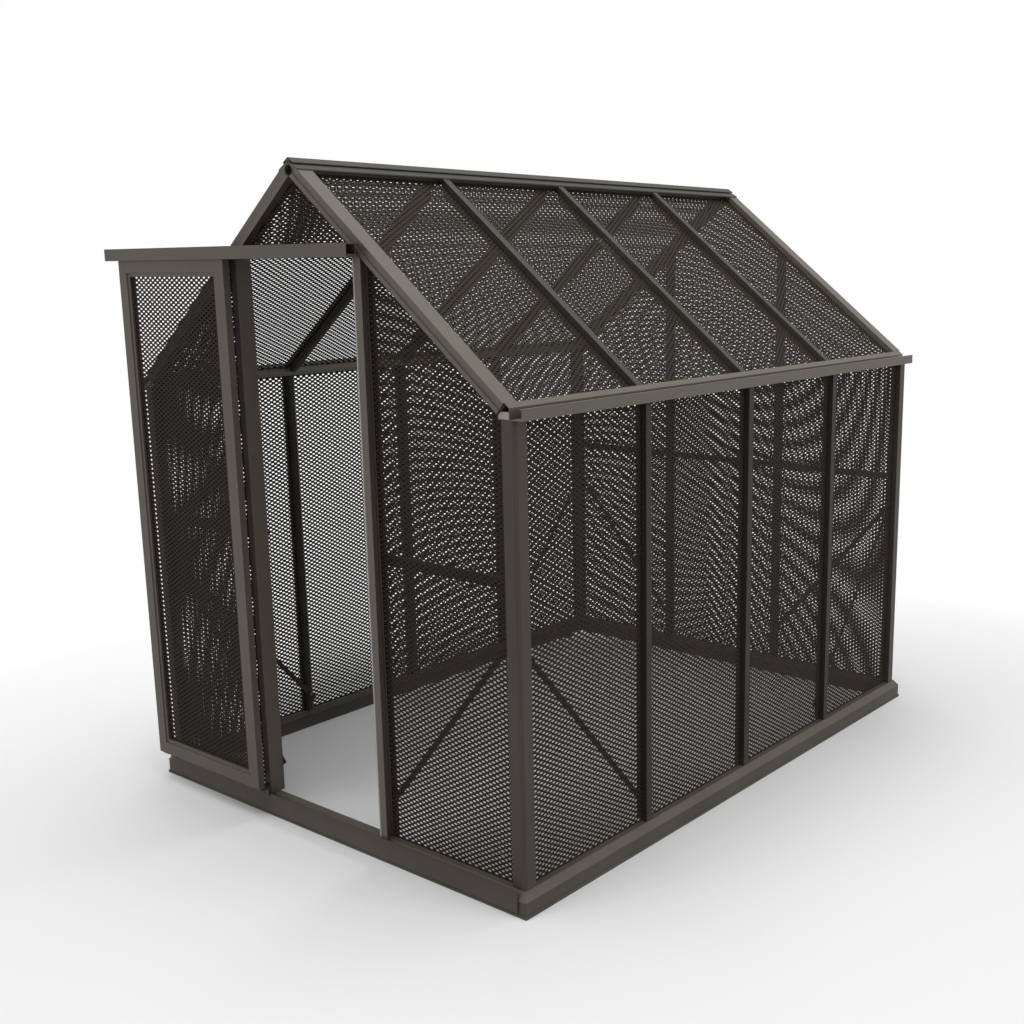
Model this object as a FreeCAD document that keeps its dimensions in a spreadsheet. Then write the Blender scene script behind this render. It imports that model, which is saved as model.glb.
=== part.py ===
"""Shade house: a gabled garden house of powder-coated aluminium bars, glazed with perforated sheet.

The house stands on a mitred base frame and has four bays along each side, three across each gable and
one sliding door that hangs from a head rail. Millimetres, +Z up, front towards -Y. The origin lies on the
ground, at the centre of the base frame.
"""
import FreeCAD, Part
import os
import re
import Sketcher

# Driving sizes in millimetres, with the roof's pitch in degrees
SIZES = {
    # base frame: a box section with an outward foot lip and anchor lugs, and the sill on top of it
    "base_length": 2560, "base_width": 1900, "base_height": 52, "base_depth": 50, "base_wall": 2.5,
    "base_lip": 4, "base_lip_height": 9,
    "anchor_radius": 5.5, "anchor_inset": 66, "anchor_from_end": 190,
    "lug_reach": 32, "lug_length": 60, "lug_wall": 4,
    "sill_height": 27, "sill_nose": 3, "sill_nose_height": 3, "sill_run": 18,
    "sill_depth": 46, "sill_wall": 2,
    # glazing bars: a hollow outer face, a slot for the sheet and an inner box
    "post_inset": 22, "frame_depth": 45, "face_depth": 20, "panel_slot": 2.5, "slot_reach": 13, "bar_wall": 2,
    "post_leg": 51, "post_bevel": 11, "stud_face": 30, "stud_inner": 22, "stud_stem": 4,
    "jamb_proud": 15, "jamb_flange": 3, "jamb_web": 12, "jamb_lip": 11, "jamb_lip_wall": 3,
    "side_bay": 620, "door_bay": 620, "eave_height": 1520,
    # roof
    "roof_pitch": 38.66, "eave_rise": 36, "eave_back": 18, "eave_flange": 22, "gutter_reach": 29,
    "gutter_height": 35, "gutter_lip": 8, "gutter_wall": 2.5,
    "plug_wall": 2, "plug_play": 0.3, "plug_height": 24,
    "rafter_roof_leg": 50, "rafter_gable_leg": 41, "rafter_inner": 36,
    "rafter_proud": 9, "rafter_lip": 14, "rafter_hollow": 4,
    "ridge_rise": 4, "ridge_neck": 8,
    "ridge_cap": 24, "ridge_cap_fall": 16, "ridge_cap_edge": 3, "ridge_groove": 5,
    "ridge_flange": 47, "ridge_flange_fall": 23, "ridge_flange_wall": 3, "ridge_lip": 4,
    "ridge_tube": 18, "ridge_tube_wall": 2.5, "ridge_tube_drop": 36, "ridge_play": 0.3, "bar_start": 40,
    # perforated sheets
    "panel_thickness": 1.2, "panel_play": 0.5, "panel_edge": 2, "roof_panel_start": 48, "opening_share": 0.49,
    # girts and diagonal braces on the inside of the frame
    "girt_level": 1010, "girt_height": 30, "girt_depth": 20, "girt_wall": 3, "girt_end": 28,
    "brace_width": 20, "brace_wall": 3, "brace_post": 38, "brace_head_over": 5, "brace_foot_over": 35,
    "gable_brace_top": 890, "gable_brace_foot": 205, "side_brace_top": 855, "side_brace_foot": 155,
    # head rail, header and bottom track of the sliding door
    "rail_drop": 17.5, "rail_height": 42, "rail_depth": 64, "rail_wall": 3, "rail_over": 72, "rail_lap": 12,
    "rail_shelf": 30, "rail_shelf_rise": 6, "rail_rib": 3, "rail_rib_width": 2,
    "header_height": 32, "header_lap": 7,
    "track_reach": 2, "track_rise": 5, "track_wall": 3, "track_foot_gap": 3,
    # door
    "door_lap": 17, "door_bite": 4, "door_clear": 29, "door_hood": 4, "door_depth": 26, "door_gap": 5.5,
    "stile_width": 60, "stile_step": 14, "stile_step_depth": 4, "door_slot_depth": 13,
    "hanger_width": 40, "hanger_wall": 4, "hanger_foot": 16, "hanger_height": 30, "hanger_inset": 70,
    "roller_radius": 12, "roller_root": 10, "roller_width": 14, "roller_groove": 6, "roller_play": 0.05,
    "roller_side_play": 1, "axle_radius": 3, "axle_head": 5, "axle_head_wall": 3, "axle_play": 0.1,
    "shoe_length": 40, "shoe_wall": 3, "shoe_play": 1.5, "shoe_bite": 8, "shoe_lift": 3,
    "shoe_arm": 10, "shoe_grip": 14, "shoe_inset": 22,
    "stop_length": 20, "stop_drop": 22, "stop_play": 1,
}

doc = FreeCAD.newDocument("ShadeHouse")
sheet = doc.addObject("Spreadsheet::Sheet", "Sizes")
for row, (name, value) in enumerate(SIZES.items(), start=1):
    sheet.set(f"A{row}", name)
    sheet.set(f"B{row}", str(value))
    sheet.setAlias(f"B{row}", name)
doc.recompute()

PIECES = []
SIZE_NAMES = re.compile(r"\b(" + "|".join(SIZES) + r")\b")


def formula(text):
    """A formula in plain size names, with each name given its sheet."""
    return SIZE_NAMES.sub(r"Sizes.\1", text)


def times(sign, text):
    """The formula, or its mirror image for a negative sign."""
    return f"({text})" if sign > 0 else f"(-({text}))"


def new_body(label):
    """A sub-part that is written out under its label."""
    body = doc.addObject("PartDesign::Body", label)
    body.Label = label
    body.AllowCompound = True
    PIECES.append(body)
    return body


def new_sketch(body, plane, shift="0", turn=None):
    """A sketch on one of the body's own origin planes, shifted along the normal and turned about it."""
    sketch = body.newObject("Sketcher::SketchObject", f"{body.Name}_sketch")
    sketch.AttachmentSupport = [(next(item for item in body.Origin.OriginFeatures if item.Role == plane), "")]
    sketch.MapMode = "FlatFace"
    sketch.setExpression("AttachmentOffset.Base.z", formula(shift))
    if turn:
        about_normal = FreeCAD.Rotation(FreeCAD.Vector(0, 0, 1), 1)
        sketch.AttachmentOffset = FreeCAD.Placement(FreeCAD.Vector(), about_normal)
        sketch.setExpression("AttachmentOffset.Rotation.Angle", formula(turn))
    return sketch


def pin(sketch, kind, geometry, point, text):
    """Holds one coordinate of a point at a formula's value."""
    value = float(sketch.evalExpression(formula(text)))
    index = sketch.addConstraint(Sketcher.Constraint(kind, -1, 1, geometry, point, value))
    sketch.setExpression(f"Constraints[{index}]", formula(text))


def polygon(sketch, points):
    """A closed outline through points that are pairs of formulas."""
    first = sketch.GeometryCount
    count = len(points)
    values = [[float(sketch.evalExpression(formula(text))) for text in point] for point in points]
    corners = [FreeCAD.Vector(across, up, 0) for across, up in values]
    sketch.addGeometry([Part.LineSegment(corners[i], corners[(i + 1) % count]) for i in range(count)])
    sketch.addConstraint(
        [Sketcher.Constraint("Coincident", first + i, 2, first + (i + 1) % count, 1) for i in range(count)]
    )
    for i, (across, up) in enumerate(points):
        pin(sketch, "DistanceX", first + i, 1, across)
        pin(sketch, "DistanceY", first + i, 1, up)


def rectangle(sketch, left, low, right, high):
    """A closed rectangle between two corners."""
    polygon(sketch, [(left, low), (right, low), (right, high), (left, high)])


def circle(sketch, across, up, radius):
    """A circle with its centre and radius held at formulas."""
    centre = FreeCAD.Vector(*(float(sketch.evalExpression(formula(text))) for text in (across, up)), 0)
    size = float(sketch.evalExpression(formula(radius)))
    index = sketch.addGeometry(Part.Circle(centre, FreeCAD.Vector(0, 0, 1), size))
    pin(sketch, "DistanceX", index, 3, across)
    pin(sketch, "DistanceY", index, 3, up)
    held = sketch.addConstraint(Sketcher.Constraint("Radius", index, size))
    sketch.setExpression(f"Constraints[{held}]", formula(radius))


def pad(body, sketch, length, symmetric=False):
    """Extrudes a sketch along its normal, or evenly to both sides of it."""
    feature = body.newObject("PartDesign::Pad", f"{body.Name}_pad")
    feature.Profile = sketch
    feature.setExpression("Length", formula(length))
    feature.SideType = "Symmetric" if symmetric else "One side"
    return feature


def cut(body, sketch, length=None):
    """Cuts a sketch through the whole body, or to a length shared by both sides of its plane."""
    feature = body.newObject("PartDesign::Pocket", f"{body.Name}_cut")
    feature.Profile = sketch
    feature.SideType = "Symmetric"
    if length:
        feature.setExpression("Length", formula(length))
    else:
        feature.Type = "ThroughAll"
    return feature


# Places that several pieces share
BASE_X = "base_width/2"
BASE_Y = "base_length/2"
FACE_X = "(base_width/2 - post_inset)"
FACE_Y = "(base_length/2 - post_inset)"
SILL_TOP = "(base_height + sill_height)"
SLOT_BACK = "(face_depth + panel_slot)"
PANEL_FRONT = "(face_depth + (panel_slot - panel_thickness)/2)"
EAVE_X = f"({FACE_X} - eave_back)"
ROOF_TOP = f"(eave_height + eave_rise + {EAVE_X}*tan(roof_pitch))"
ROOF_FOOT = f"({EAVE_X}/cos(roof_pitch) - eave_flange)"
JAMB_FACE = f"({FACE_Y} + jamb_proud)"
JAMB_X = "(door_bay/2)"
DOORWAY_HALF = f"({JAMB_X} - stud_face/2)"
DOOR_WIDTH = f"(2*({DOORWAY_HALF} + door_lap))"
DOOR_TRAVEL = f"({DOOR_WIDTH}/2 + {DOORWAY_HALF} - door_bite)"
SIDES = (("left", -1), ("right", 1))
ENDS = (("front", -1), ("back", 1))


def under_roof(across, depth):
    """Height of the line that lies a depth below the roof's outer plane, at a distance from the ridge."""
    return f"({ROOF_TOP} - ({across})*tan(roof_pitch) - ({depth})/cos(roof_pitch))"


RAIL_LEVEL = f"({under_roof(DOORWAY_HALF, 'rafter_gable_leg')} - rail_drop)"
TRACK_TOP = f"({SILL_TOP} + track_rise)"
DOOR_BOTTOM = f"({TRACK_TOP} + door_clear)"
DOOR_TOP = f"({RAIL_LEVEL} + door_hood)"


def on_end(sign, depth):
    """Y of a plane at a depth behind the outer face of a gable's bars."""
    return times(sign, f"{FACE_Y} - ({depth})")


def on_side(sign, depth):
    """X of a plane at a depth behind the outer face of a side wall's bars."""
    return times(sign, f"{FACE_X} - ({depth})")


# Base rails and sills: extrusions with mitred corners, drawn as (reach outwards from the base's edge, height)
BASE_PROFILE = [
    ("0", "0"),
    ("0", "base_lip_height"),
    ("-base_lip", "base_lip_height"),
    ("-base_lip", "base_height"),
    ("-base_depth", "base_height"),
    ("-base_depth", "0"),
]
BASE_CHAMBER = [
    ("-base_lip - base_wall", "base_wall"),
    ("-base_lip - base_wall", "base_height - base_wall"),
    ("-base_depth + base_wall", "base_height - base_wall"),
    ("-base_depth + base_wall", "base_wall"),
]
LEDGE_LOW = "(base_height + sill_nose_height)"
LEDGE_SLOPE = f"(sill_run/({SILL_TOP} - {LEDGE_LOW}))"
LEDGE_WALL = f"(sill_wall*sqrt(1 + {LEDGE_SLOPE}*{LEDGE_SLOPE}))"
SILL_PROFILE = [
    ("-sill_nose", "base_height"),
    ("-sill_nose", LEDGE_LOW),
    ("-sill_nose - sill_run", SILL_TOP),
    ("-sill_nose - sill_depth", SILL_TOP),
    ("-sill_nose - sill_depth", "base_height"),
]
SILL_CHAMBER = [
    (f"-sill_nose - {LEDGE_WALL}", LEDGE_LOW),
    (f"-sill_nose - sill_run - {LEDGE_WALL} + sill_wall*{LEDGE_SLOPE}", f"{SILL_TOP} - sill_wall"),
    ("-sill_nose - sill_depth + sill_wall", f"{SILL_TOP} - sill_wall"),
    ("-sill_nose - sill_depth + sill_wall", LEDGE_LOW),
]


def mitred_rail(label, outlines, along_x, sign):
    """A hollow rail of the base frame with both ends cut at 45 degrees to meet its neighbours."""
    body = new_body(label)
    edge, end = (BASE_Y, BASE_X) if along_x else (BASE_X, BASE_Y)
    sketch = new_sketch(body, "YZ_Plane" if along_x else "XZ_Plane")
    for profile in outlines:
        polygon(sketch, [(times(sign, f"{edge} + ({reach})"), height) for reach, height in profile])
    pad(body, sketch, f"2*{end}", symmetric=True)
    corner = new_sketch(body, "XY_Plane")
    for side in (-1, 1):
        points = [
            (times(side, f"{end} - base_depth*2"), times(sign, f"{edge} - base_depth*2")),
            (times(side, f"{end} + base_depth"), times(sign, f"{edge} + base_depth")),
            (times(side, f"{end} + base_depth"), times(sign, f"{edge} - base_depth*2")),
        ]
        polygon(corner, points if along_x else [(up, across) for across, up in points])
    cut(body, corner)
    return body


for end, sign in ENDS:
    mitred_rail(f"base_rail_{end}", (BASE_PROFILE, BASE_CHAMBER), True, sign)
    mitred_rail(f"sill_{end}", (SILL_PROFILE, SILL_CHAMBER), True, sign)
for side, sign in SIDES:
    rail = mitred_rail(f"base_rail_{side}", (BASE_PROFILE, BASE_CHAMBER), False, sign)
    mitred_rail(f"sill_{side}", (SILL_PROFILE, SILL_CHAMBER), False, sign)
    # lugs on the rail's inner side, each with a hole for a ground anchor
    lugs = new_sketch(rail, "XY_Plane")
    for end in (-1, 1):
        low, high = (times(end, f"{BASE_Y} - anchor_from_end + {half}*lug_length/2") for half in (-1, 1))
        rectangle(
            lugs,
            times(sign, f"{BASE_X} - base_depth - lug_reach"),
            low,
            times(sign, f"{BASE_X} - base_depth + base_wall"),
            high,
        )
    pad(rail, lugs, "lug_wall")
    anchors = new_sketch(rail, "XY_Plane")
    for end in (-1, 1):
        circle(
            anchors,
            times(sign, f"{BASE_X} - anchor_inset"),
            times(end, f"{BASE_Y} - anchor_from_end"),
            "anchor_radius",
        )
    cut(rail, anchors, "4*lug_wall")


# Corner bars: two legs with a bevelled outer corner, a sheet slot in each leg and three hollow chambers
def corner_section(sketch, leg_a, leg_b, inner_a, inner_b, bevel, place):
    """Draws the section, with place turning distances along the two legs into the sketch's coordinates."""
    slot_a = f"{leg_a} - slot_reach"
    slot_b = f"{leg_b} - slot_reach"
    outer = [
        (bevel, "0"),
        (leg_a, "0"),
        (leg_a, "face_depth"),
        (slot_a, "face_depth"),
        (slot_a, SLOT_BACK),
        (inner_a, SLOT_BACK),
        (inner_a, inner_b),
        (SLOT_BACK, inner_b),
        (SLOT_BACK, slot_b),
        ("face_depth", slot_b),
        ("face_depth", leg_b),
        ("0", leg_b),
        ("0", bevel),
    ]
    polygon(sketch, [place(a, b) for a, b in outer])
    for low, high in (
        (("face_depth", "bar_wall"), (f"{leg_a} - bar_wall", "face_depth - bar_wall")),
        (("bar_wall", "face_depth"), ("face_depth - bar_wall", f"{leg_b} - bar_wall")),
        ((f"{SLOT_BACK} + bar_wall",) * 2, (f"{inner_a} - bar_wall", f"{inner_b} - bar_wall")),
    ):
        rectangle(sketch, *place(*low), *place(*high))


for end, end_sign in ENDS:
    for side, side_sign in SIDES:
        post = new_body(f"corner_post_{end}_{side}")
        section = new_sketch(post, "XY_Plane", SILL_TOP)
        corner_section(
            section,
            "post_leg",
            "post_leg",
            "frame_depth",
            "frame_depth",
            "post_bevel",
            lambda a, b: (on_side(side_sign, a), on_end(end_sign, b)),
        )
        pad(post, section, f"eave_height - {SILL_TOP}")


# Glazing bars: a hollow face, a stem between two sheets and an inner box
def bar_section(sketch, centre, place):
    """Draws the bar's section, with place turning (across, depth) into the sketch's coordinates."""
    half = "stud_face/2"
    stem = "stud_stem/2"
    inner = "stud_inner/2"
    right = [
        (half, "0"),
        (half, "face_depth"),
        (stem, "face_depth"),
        (stem, SLOT_BACK),
        (inner, SLOT_BACK),
        (inner, "frame_depth"),
    ]
    outer = [(f"{centre} + {across}", depth) for across, depth in right]
    outer += [(f"{centre} - {across}", depth) for across, depth in reversed(right)]
    polygon(sketch, [place(across, depth) for across, depth in outer])
    for width, front, back in (
        (f"{half} - bar_wall", "bar_wall", "face_depth - bar_wall"),
        (f"{inner} - bar_wall", f"{SLOT_BACK} + bar_wall", "frame_depth - bar_wall"),
    ):
        rectangle(sketch, *place(f"{centre} - ({width})", front), *place(f"{centre} + ({width})", back))


for side, sign in SIDES:
    for number, bay in enumerate((-1, 0, 1), start=1):
        stud = new_body(f"{side}_stud_{number}")
        section = new_sketch(stud, "XY_Plane", SILL_TOP)
        bar_section(section, f"{bay}*side_bay", lambda across, depth: (on_side(sign, depth), across))
        pad(stud, section, f"eave_height - {SILL_TOP}")


def slope_top(body, sign):
    """Trims an upright of a gable along the underside of its rafter."""
    sketch = new_sketch(body, "XZ_Plane")
    near = f"{JAMB_X} - stud_face"
    far = f"{JAMB_X} + stud_face"
    polygon(
        sketch,
        [
            (times(sign, near), under_roof(near, "rafter_gable_leg")),
            (times(sign, far), under_roof(far, "rafter_gable_leg")),
            (times(sign, far), f"2*{ROOF_TOP}"),
            (times(sign, near), f"2*{ROOF_TOP}"),
        ],
    )
    cut(body, sketch)


UPRIGHT = f"{under_roof(JAMB_X, '0')} - {SILL_TOP}"
for side, sign in SIDES:
    stud = new_body(f"back_stud_{side}")
    section = new_sketch(stud, "XY_Plane", SILL_TOP)
    bar_section(section, times(sign, JAMB_X), lambda across, depth: (across, on_end(1, depth)))
    pad(stud, section, UPRIGHT)
    slope_top(stud, sign)

    # door jamb: a flange on a hollow web stands proud of the gable; only its far side holds a sheet
    jamb = new_body(f"door_jamb_{side}")
    section = new_sketch(jamb, "XY_Plane", SILL_TOP)
    web = "-stud_face/2 + jamb_web"
    outer = [
        ("-stud_face/2", "-jamb_proud"),
        ("stud_face/2", "-jamb_proud"),
        ("stud_face/2", "-jamb_proud + jamb_flange"),
        (web, "-jamb_proud + jamb_flange"),
        (web, "face_depth - jamb_lip_wall"),
        (f"{web} + jamb_lip", "face_depth - jamb_lip_wall"),
        (f"{web} + jamb_lip", "face_depth"),
        ("stud_stem/2", "face_depth"),
        ("stud_stem/2", SLOT_BACK),
        ("stud_inner/2", SLOT_BACK),
        ("stud_inner/2", "frame_depth"),
        ("-stud_face/2", "frame_depth"),
    ]
    polygon(section, [(times(sign, f"{JAMB_X} + {across}"), on_end(-1, depth)) for across, depth in outer])
    rectangle(
        section,
        times(sign, f"{JAMB_X} - stud_face/2 + bar_wall"),
        on_end(-1, "-jamb_proud + jamb_flange"),
        times(sign, f"{JAMB_X} + {web} - bar_wall"),
        on_end(-1, "face_depth - jamb_lip_wall"),
    )
    pad(jamb, section, UPRIGHT)
    slope_top(jamb, sign)


# Eaves: a box beam that carries the roof bars, with an open gutter in front of it
FLANGE_ACROSS = "eave_flange*cos(roof_pitch)"
FLANGE_UP = "eave_flange*sin(roof_pitch)"
BEAM_TOP = (f"(-eave_back - {FLANGE_ACROSS})", f"(eave_rise + {FLANGE_UP})")
BEAM_IN = (
    f"({BEAM_TOP[0]} - frame_depth*sin(roof_pitch))",
    f"({BEAM_TOP[1]} - frame_depth*cos(roof_pitch))",
)
EAVE_PROFILE = [
    (BEAM_IN[0], "0"),
    ("gutter_reach", "0"),
    ("gutter_reach", "gutter_height"),
    ("gutter_reach - gutter_lip", "gutter_height"),
    ("gutter_reach - gutter_lip", "gutter_height - gutter_wall"),
    ("gutter_reach - gutter_wall", "gutter_height - gutter_wall"),
    ("gutter_reach - gutter_wall", "gutter_wall"),
    ("-eave_back", "gutter_wall"),
    ("-eave_back", "eave_rise"),
    BEAM_TOP,
    BEAM_IN,
]


def beam_chamber(wall):
    """The box beam's outline, drawn in by a wall on every side."""
    flange = f"({wall})/cos(roof_pitch)"
    return [
        (f"{BEAM_IN[0]} + ({wall})", f"({wall})"),
        (f"-eave_back - ({wall})", f"({wall})"),
        (f"-eave_back - ({wall})", f"eave_rise + ({wall})*tan(roof_pitch) - {flange}"),
        (
            f"{BEAM_TOP[0]} + ({wall})*(cos(roof_pitch) - sin(roof_pitch))",
            f"{BEAM_TOP[1]} - ({wall})*(cos(roof_pitch) + sin(roof_pitch))",
        ),
        (
            f"{BEAM_IN[0]} + ({wall})",
            f"{BEAM_IN[1]} + ({wall})/tan(roof_pitch) - ({wall})/sin(roof_pitch)",
        ),
    ]


def at_eave(sign, points):
    """Points given from the wall's outer face and the eave's height, in the house's coordinates."""
    return [(times(sign, f"{FACE_X} + ({across})"), f"eave_height + ({up})") for across, up in points]


CHAMBER = beam_chamber("gutter_wall + plug_play")
PLUG_PROFILE = [
    *CHAMBER[:2],
    (CHAMBER[1][0], "plug_height"),
    (f"{CHAMBER[4][0]} + (plug_height - ({CHAMBER[4][1]}))*tan(roof_pitch)", "plug_height"),
    CHAMBER[4],
]
plugs = new_body("eave_end_plugs")
for side, sign in SIDES:
    gutter = new_body(f"gutter_{side}")
    section = new_sketch(gutter, "XZ_Plane")
    polygon(section, at_eave(sign, EAVE_PROFILE))
    polygon(section, at_eave(sign, beam_chamber("gutter_wall")))
    pad(gutter, section, f"2*{FACE_Y}", symmetric=True)
    # a plug closes the lower part of the box beam at each end, seated just inside its chamber
    for end in (-1, 1):
        outline = new_sketch(plugs, "XZ_Plane", times(end, f"{FACE_Y} - plug_wall/2"))
        polygon(outline, at_eave(sign, PLUG_PROFILE))
        pad(plugs, outline, "plug_wall", symmetric=True)


# Ridge: a cap over two flanges that the roof bars meet, with a round screw port below
def ridge_flange(across, extra="0"):
    """Height of the flange's upper face above the roof's apex, at a distance from the middle."""
    start = "ridge_rise - ridge_cap_edge - ridge_groove - ridge_neck*ridge_cap_fall/ridge_cap"
    fall = "ridge_flange_fall/(ridge_flange - ridge_neck)"
    return f"({start} - ({across} - ridge_neck)*{fall} - ({extra}))"


CAP_FALL = "ridge_cap_fall/ridge_cap"
RIDGE_HALF = [
    ("ridge_cap", "ridge_rise - ridge_cap_fall"),
    ("ridge_cap", "ridge_rise - ridge_cap_fall - ridge_cap_edge"),
    ("ridge_neck", f"ridge_rise - ridge_cap_edge - ridge_neck*{CAP_FALL}"),
    ("ridge_neck", ridge_flange("ridge_neck")),
    ("ridge_flange", ridge_flange("ridge_flange")),
    ("ridge_flange", "-ridge_flange*tan(roof_pitch)"),
    ("ridge_flange - ridge_lip", "-(ridge_flange - ridge_lip)*tan(roof_pitch)"),
    ("ridge_flange - ridge_lip", ridge_flange("ridge_flange - ridge_lip", "ridge_flange_wall")),
    ("ridge_neck", ridge_flange("ridge_neck", "ridge_flange_wall")),
    ("ridge_neck", "-ridge_tube_drop + ridge_tube/2"),
]
ridge = new_body("ridge_bar")
section = new_sketch(ridge, "XZ_Plane")
outer = [("0", "ridge_rise")] + RIDGE_HALF + [(f"-({across})", up) for across, up in reversed(RIDGE_HALF)]
polygon(section, [(across, f"{ROOF_TOP} + ({up})") for across, up in outer])
RIDGE_LENGTH = f"2*({FACE_Y} + rafter_proud)"
pad(ridge, section, RIDGE_LENGTH, symmetric=True)
port = new_sketch(ridge, "XZ_Plane")
circle(port, "0", f"{ROOF_TOP} - ridge_tube_drop", "ridge_tube")
pad(ridge, port, RIDGE_LENGTH, symmetric=True)
bore = new_sketch(ridge, "XZ_Plane")
circle(bore, "0", f"{ROOF_TOP} - ridge_tube_drop", "ridge_tube - ridge_tube_wall")
cut(ridge, bore)


# Roof bars and rafters: drawn in their slope's plane, X down the slope from the apex, Z out of the roof
def on_slope(body, sign):
    """Lays a body on the right slope, or on the left one, turned half round about the middle of the house."""
    turn = "create(<<rotation>>; create(<<vector>>; 0; 1; 0); Sizes.roof_pitch)"
    if sign < 0:
        turn = f"create(<<rotation>>; create(<<vector>>; 0; 0; 1); 180) * {turn}"
    body.setExpression(
        "Placement", f"create(<<placement>>; create(<<vector>>; 0; 0; {formula(ROOF_TOP)}); {turn})"
    )


def plumb_cut(body, across):
    """Ends a sloping bar in an upright plane at a distance from the ridge."""
    sketch = new_sketch(body, "XZ_Plane", turn="roof_pitch")
    rectangle(sketch, "-frame_depth*4", "-frame_depth*4", across, "frame_depth*4")
    cut(body, sketch)


# the rafter's section: a roof leg, a front that leans back above a lip, and an inner box
RAFTER_SECTION = [
    [
        ("-rafter_proud", "0"),
        ("rafter_roof_leg", "0"),
        ("rafter_roof_leg", "face_depth"),
        ("rafter_roof_leg - slot_reach", "face_depth"),
        ("rafter_roof_leg - slot_reach", SLOT_BACK),
        ("frame_depth", SLOT_BACK),
        ("frame_depth", "rafter_inner"),
        (SLOT_BACK, "rafter_inner"),
        (SLOT_BACK, "rafter_gable_leg - slot_reach"),
        ("face_depth", "rafter_gable_leg - slot_reach"),
        ("face_depth", "rafter_gable_leg"),
        ("-rafter_proud", "rafter_gable_leg"),
        ("-rafter_proud", "rafter_gable_leg - rafter_lip"),
        ("-rafter_proud + rafter_hollow", "rafter_gable_leg - rafter_lip"),
    ],
    [
        ("face_depth - bar_wall", "rafter_gable_leg - bar_wall"),
        ("-rafter_proud + rafter_hollow + bar_wall", "rafter_gable_leg - bar_wall"),
        ("-rafter_proud + rafter_hollow + bar_wall", "bar_wall"),
        ("face_depth - bar_wall", "bar_wall"),
    ],
    [
        ("face_depth + bar_wall", "bar_wall"),
        ("rafter_roof_leg - bar_wall", "bar_wall"),
        ("rafter_roof_leg - bar_wall", "face_depth - bar_wall"),
        ("face_depth + bar_wall", "face_depth - bar_wall"),
    ],
    [
        (f"{SLOT_BACK} + bar_wall", f"{SLOT_BACK} + bar_wall"),
        ("frame_depth - bar_wall", f"{SLOT_BACK} + bar_wall"),
        ("frame_depth - bar_wall", "rafter_inner - bar_wall"),
        (f"{SLOT_BACK} + bar_wall", "rafter_inner - bar_wall"),
    ],
]
for side, sign in SIDES:
    bars = new_body(f"{side}_roof_bars")
    section = new_sketch(bars, "YZ_Plane")
    for bay in (-1, 0, 1):
        bar_section(section, f"{bay}*side_bay", lambda across, depth: (across, f"-({depth})"))
    pad(bars, section, ROOF_FOOT)
    plumb_cut(bars, "bar_start")
    on_slope(bars, sign)
    for end, end_sign in ENDS:
        rafter = new_body(f"rafter_{end}_{side}")
        section = new_sketch(rafter, "YZ_Plane")
        for points in RAFTER_SECTION:
            polygon(section, [(on_end(end_sign * sign, along), f"-({depth})") for along, depth in points])
        pad(rafter, section, ROOF_FOOT)
        plumb_cut(rafter, "ridge_play")
        # the upper end is notched to fit under the ridge's flange and round its screw port
        notch = new_sketch(rafter, "XZ_Plane", turn="roof_pitch")
        neck = "ridge_neck + ridge_play"
        far = "ridge_flange - ridge_lip"
        polygon(
            notch,
            [
                ("-frame_depth", "frame_depth"),
                (far, "frame_depth"),
                (far, ridge_flange(far, "ridge_flange_wall + ridge_play")),
                (neck, ridge_flange(neck, "ridge_flange_wall + ridge_play")),
                (neck, "-ridge_tube_drop"),
                ("-frame_depth", "-ridge_tube_drop"),
            ],
        )
        cut(rafter, notch)
        round_port = new_sketch(rafter, "XZ_Plane", turn="roof_pitch")
        circle(round_port, "0", "-ridge_tube_drop", "ridge_tube + ridge_play")
        cut(rafter, round_port)
        on_slope(rafter, sign)


# Perforated sheets, held in the bars' slots: a plain grid of openings stands for the fine perforation
OPENINGS_PER_BAY = 3
OPENINGS_PER_GABLE = 6
OPENING_ROWS = 3


def opening_rows(low, high):
    """Low and high ends of the openings that share a sheet's height evenly."""
    pitch = f"(({high}) - ({low}))/{OPENING_ROWS}"
    middles = [f"({low}) + {row} * {pitch} + {pitch}/2" for row in range(OPENING_ROWS)]
    half = f"opening_share*{pitch}/2"
    return [(f"{middle} - {half}", f"{middle} + {half}") for middle in middles]


def open_grid(body, sketch, first, pitch, rows, columns, upright=True):
    """Cuts one column of openings through a body's sheets and repeats it along them."""
    low, high = (f"({first}) {side} opening_share*({pitch})/2" for side in "-+")
    for start, end in rows:
        rectangle(sketch, *((low, start, high, end) if upright else (start, low, end, high)))
    column = cut(body, sketch)
    row = body.newObject("PartDesign::LinearPattern", f"{body.Name}_row")
    row.Originals = [column]
    row.Direction = (sketch, ["H_Axis" if upright else "V_Axis"])
    row.setExpression("Length", formula(f"({pitch})*{columns - 1}"))
    row.Occurrences = columns
    body.Tip = row


POST_EDGE = "(post_leg - slot_reach + panel_edge)"
STUD_EDGE = "(stud_stem/2 + panel_edge)"
SHEET_LOW = f"({SILL_TOP} + panel_play)"
SHEET_DEPTH = "(rafter_gable_leg - slot_reach + panel_edge)"
BAYS = [
    (f"-{FACE_Y} + {POST_EDGE}", f"-side_bay - {STUD_EDGE}"),
    (f"-side_bay + {STUD_EDGE}", f"-{STUD_EDGE}"),
    (STUD_EDGE, f"side_bay - {STUD_EDGE}"),
    (f"side_bay + {STUD_EDGE}", f"{FACE_Y} - {POST_EDGE}"),
]
SIDE_PITCH = f"side_bay/{OPENINGS_PER_BAY}"
SIDE_FIRST = f"-2*side_bay + {SIDE_PITCH}/2"
SIDE_COLUMNS = len(BAYS) * OPENINGS_PER_BAY
WALL_ROWS = opening_rows(SHEET_LOW, "eave_height")
ROOF_ROWS = opening_rows("roof_panel_start", ROOF_FOOT)
ROOF_EDGE = "(rafter_roof_leg - slot_reach + panel_edge)"
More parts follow.
